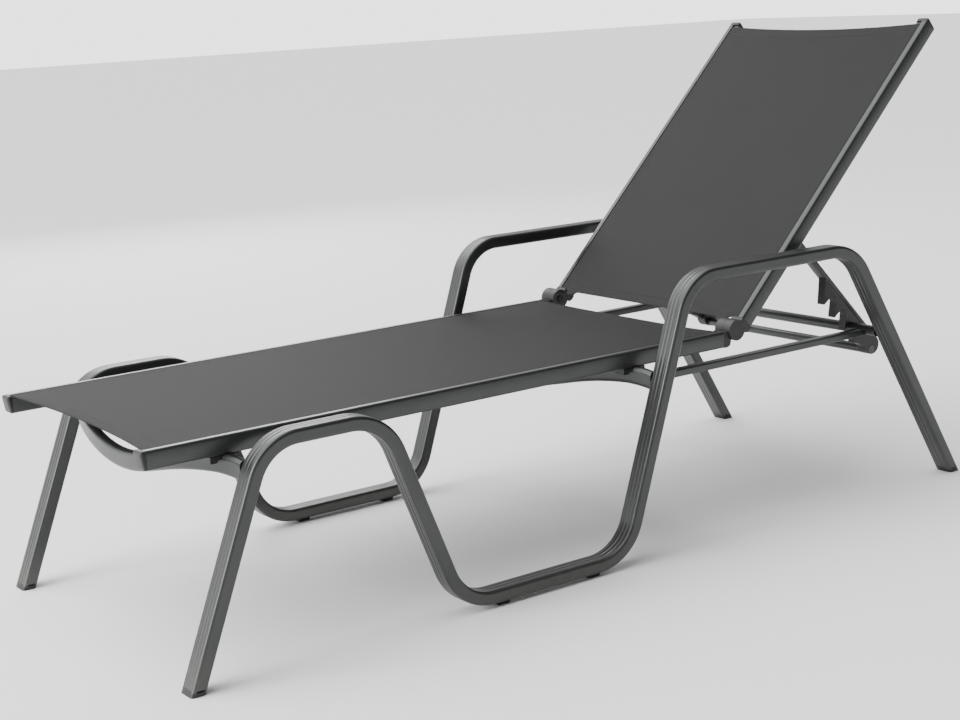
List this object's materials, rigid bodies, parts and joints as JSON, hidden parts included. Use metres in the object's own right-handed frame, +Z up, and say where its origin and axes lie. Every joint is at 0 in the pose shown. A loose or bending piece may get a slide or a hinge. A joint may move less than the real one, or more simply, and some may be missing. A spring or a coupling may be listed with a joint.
{
  "type": "reclining sun lounger",
  "caption": "Reclining sun lounger with bent tube side frames, a sling seat and a hinged sling back propped by a toothed folding stay.",
  "frame": {"origin": "centre of the footprint's bounding box, at floor level", "axes": "+X towards the head end, +Y towards the occupant's right, +Z up"},
  "size_m": [1.739, 0.69, 0.8994],
  "materials": {
    "frame_paint": "fine-textured anthracite powder coat with extruded reeding",
    "black_plastic": "moulded black, satin",
    "sling_mesh": "open basket weave of coated yarn",
    "steel": "plated fixings"
  },
  "bodies": {
    "base": {"side_frame_right": "frame_paint", "side_frame_left": "frame_paint", "front_foot_cap_right": "black_plastic", "front_foot_cap_left": "black_plastic", "rear_foot_cap_right": "black_plastic", "rear_foot_cap_left": "black_plastic", "front_runner_pad_right": "black_plastic", "front_runner_pad_left": "black_plastic", "rear_runner_pad_right": "black_plastic", "rear_runner_pad_left": "black_plastic", "crossbar_front": "frame_paint", "crossbar_rear": "frame_paint", "rack_bar": "frame_paint", "strut_right": "frame_paint", "strut_left": "frame_paint", "front_saddle_right": "black_plastic", "front_saddle_left": "black_plastic", "rear_saddle_right": "black_plastic", "rear_saddle_left": "black_plastic", "front_rail_bolt_right": "steel", "front_rail_bolt_left": "steel", "rear_rail_bolt_right": "steel", "rear_rail_bolt_left": "steel", "seat_rail_right": "frame_paint", "seat_rail_left": "frame_paint", "seat_rail_cap_right": "black_plastic", "seat_rail_cap_left": "black_plastic", "seat_keder_right": "sling_mesh", "seat_keder_left": "sling_mesh", "seat_sling": "sling_mesh", "seat_hinge_right": "black_plastic", "seat_hinge_left": "black_plastic", "hinge_pin_right": "steel", "hinge_pin_left": "steel"},
    "backrest": {"back_hinge_right": "black_plastic", "back_hinge_left": "black_plastic", "back_rail_right": "frame_paint", "back_rail_left": "frame_paint", "back_rail_cap_right": "black_plastic", "back_rail_cap_left": "black_plastic", "back_keder_right": "sling_mesh", "back_keder_left": "sling_mesh", "back_sling": "sling_mesh", "back_bar_low": "frame_paint", "back_bar_top": "frame_paint"},
    "stay": {"stay_arm_right": "frame_paint", "stay_arm_left": "frame_paint", "rack_right": "black_plastic", "rack_left": "black_plastic", "stay_bar_plug_right": "black_plastic", "stay_bar_plug_left": "black_plastic", "stay_bolt_right": "steel", "stay_bolt_left": "steel", "stay_crossbar": "frame_paint"}
  },
  "joints": [
    {"name": "back_lift", "type": "hinge", "parent": "base", "child": "backrest", "pos_m": [0.31879, 0, 0.3635], "axis": [0, -1, 0], "range_deg": [0, 44.8]},
    {"name": "stay_swing", "type": "hinge", "parent": "backrest", "child": "stay", "pos_m": [0.5026, 0, 0.51808], "axis": [0, -1, 0], "range_deg": [0, 91.4]}
  ]
}
